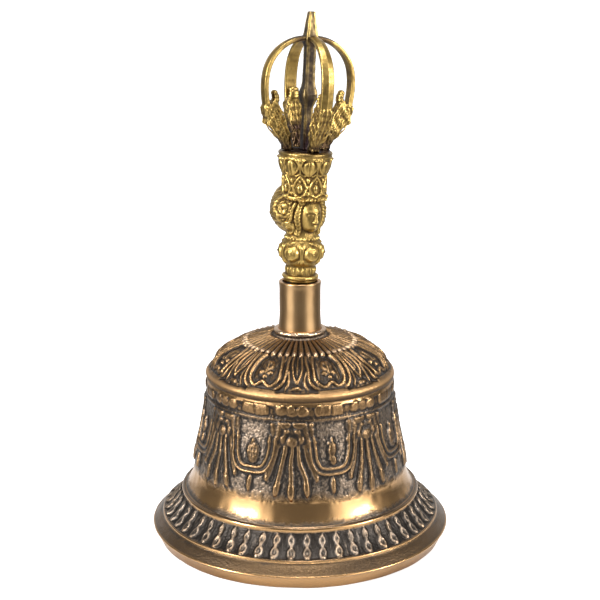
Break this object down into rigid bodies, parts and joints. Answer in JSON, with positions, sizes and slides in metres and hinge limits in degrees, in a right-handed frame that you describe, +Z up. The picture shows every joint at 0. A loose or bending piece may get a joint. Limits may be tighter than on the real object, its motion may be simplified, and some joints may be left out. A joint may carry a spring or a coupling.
{
  "type": "tibetan hand bell",
  "caption": "Cast bronze prayer bell with a neck collar, a brass grip with a head and a half vajra, and a clapper that swings on a wire link.",
  "frame": {"origin": "centre of the mouth's rim, in the plane that the bell stands on", "axes": "+Z up along the bell's axis, -Y towards the front prong, +X to the right of somebody facing it"},
  "size_m": [0.092, 0.092, 0.159],
  "materials": {
    "bronze": "antiqued cast bronze, polished ridges over a dark brown ground",
    "collar_bronze": "brushed and lightly toned",
    "brass": "bright cast brass with olive brown recesses",
    "shaft_brass": "oxidised brown with a bright tip",
    "pitch": "black setting pitch",
    "iron": "dark iron wire and rod",
    "bob_bronze": "rough cast bronze, worn bright where it strikes"
  },
  "bodies": {
    "bell": {"bell_body": "bronze", "neck_collar": "collar_bronze", "pitch_filling": "pitch", "grip_casting": "brass", "centre_spike": "shaft_brass", "prong_front": "brass", "prong_right": "brass", "prong_back": "brass", "prong_left": "brass", "clapper_staple": "iron"},
    "link": {"clapper_link": "iron"},
    "clapper": {"clapper_rod": "iron", "clapper_bob": "bob_bronze"}
  },
  "joints": [
    {"name": "link_swing", "type": "hinge", "parent": "bell", "child": "link", "pos_m": [0, 0, 0.0568], "axis": [1, 0, 0], "range_deg": [-6, 6]},
    {"name": "clapper_swing", "type": "hinge", "parent": "link", "child": "clapper", "pos_m": [0, 0, 0.0484], "axis": [0, 1, 0], "range_deg": [-37.5, 37.5]}
  ]
}
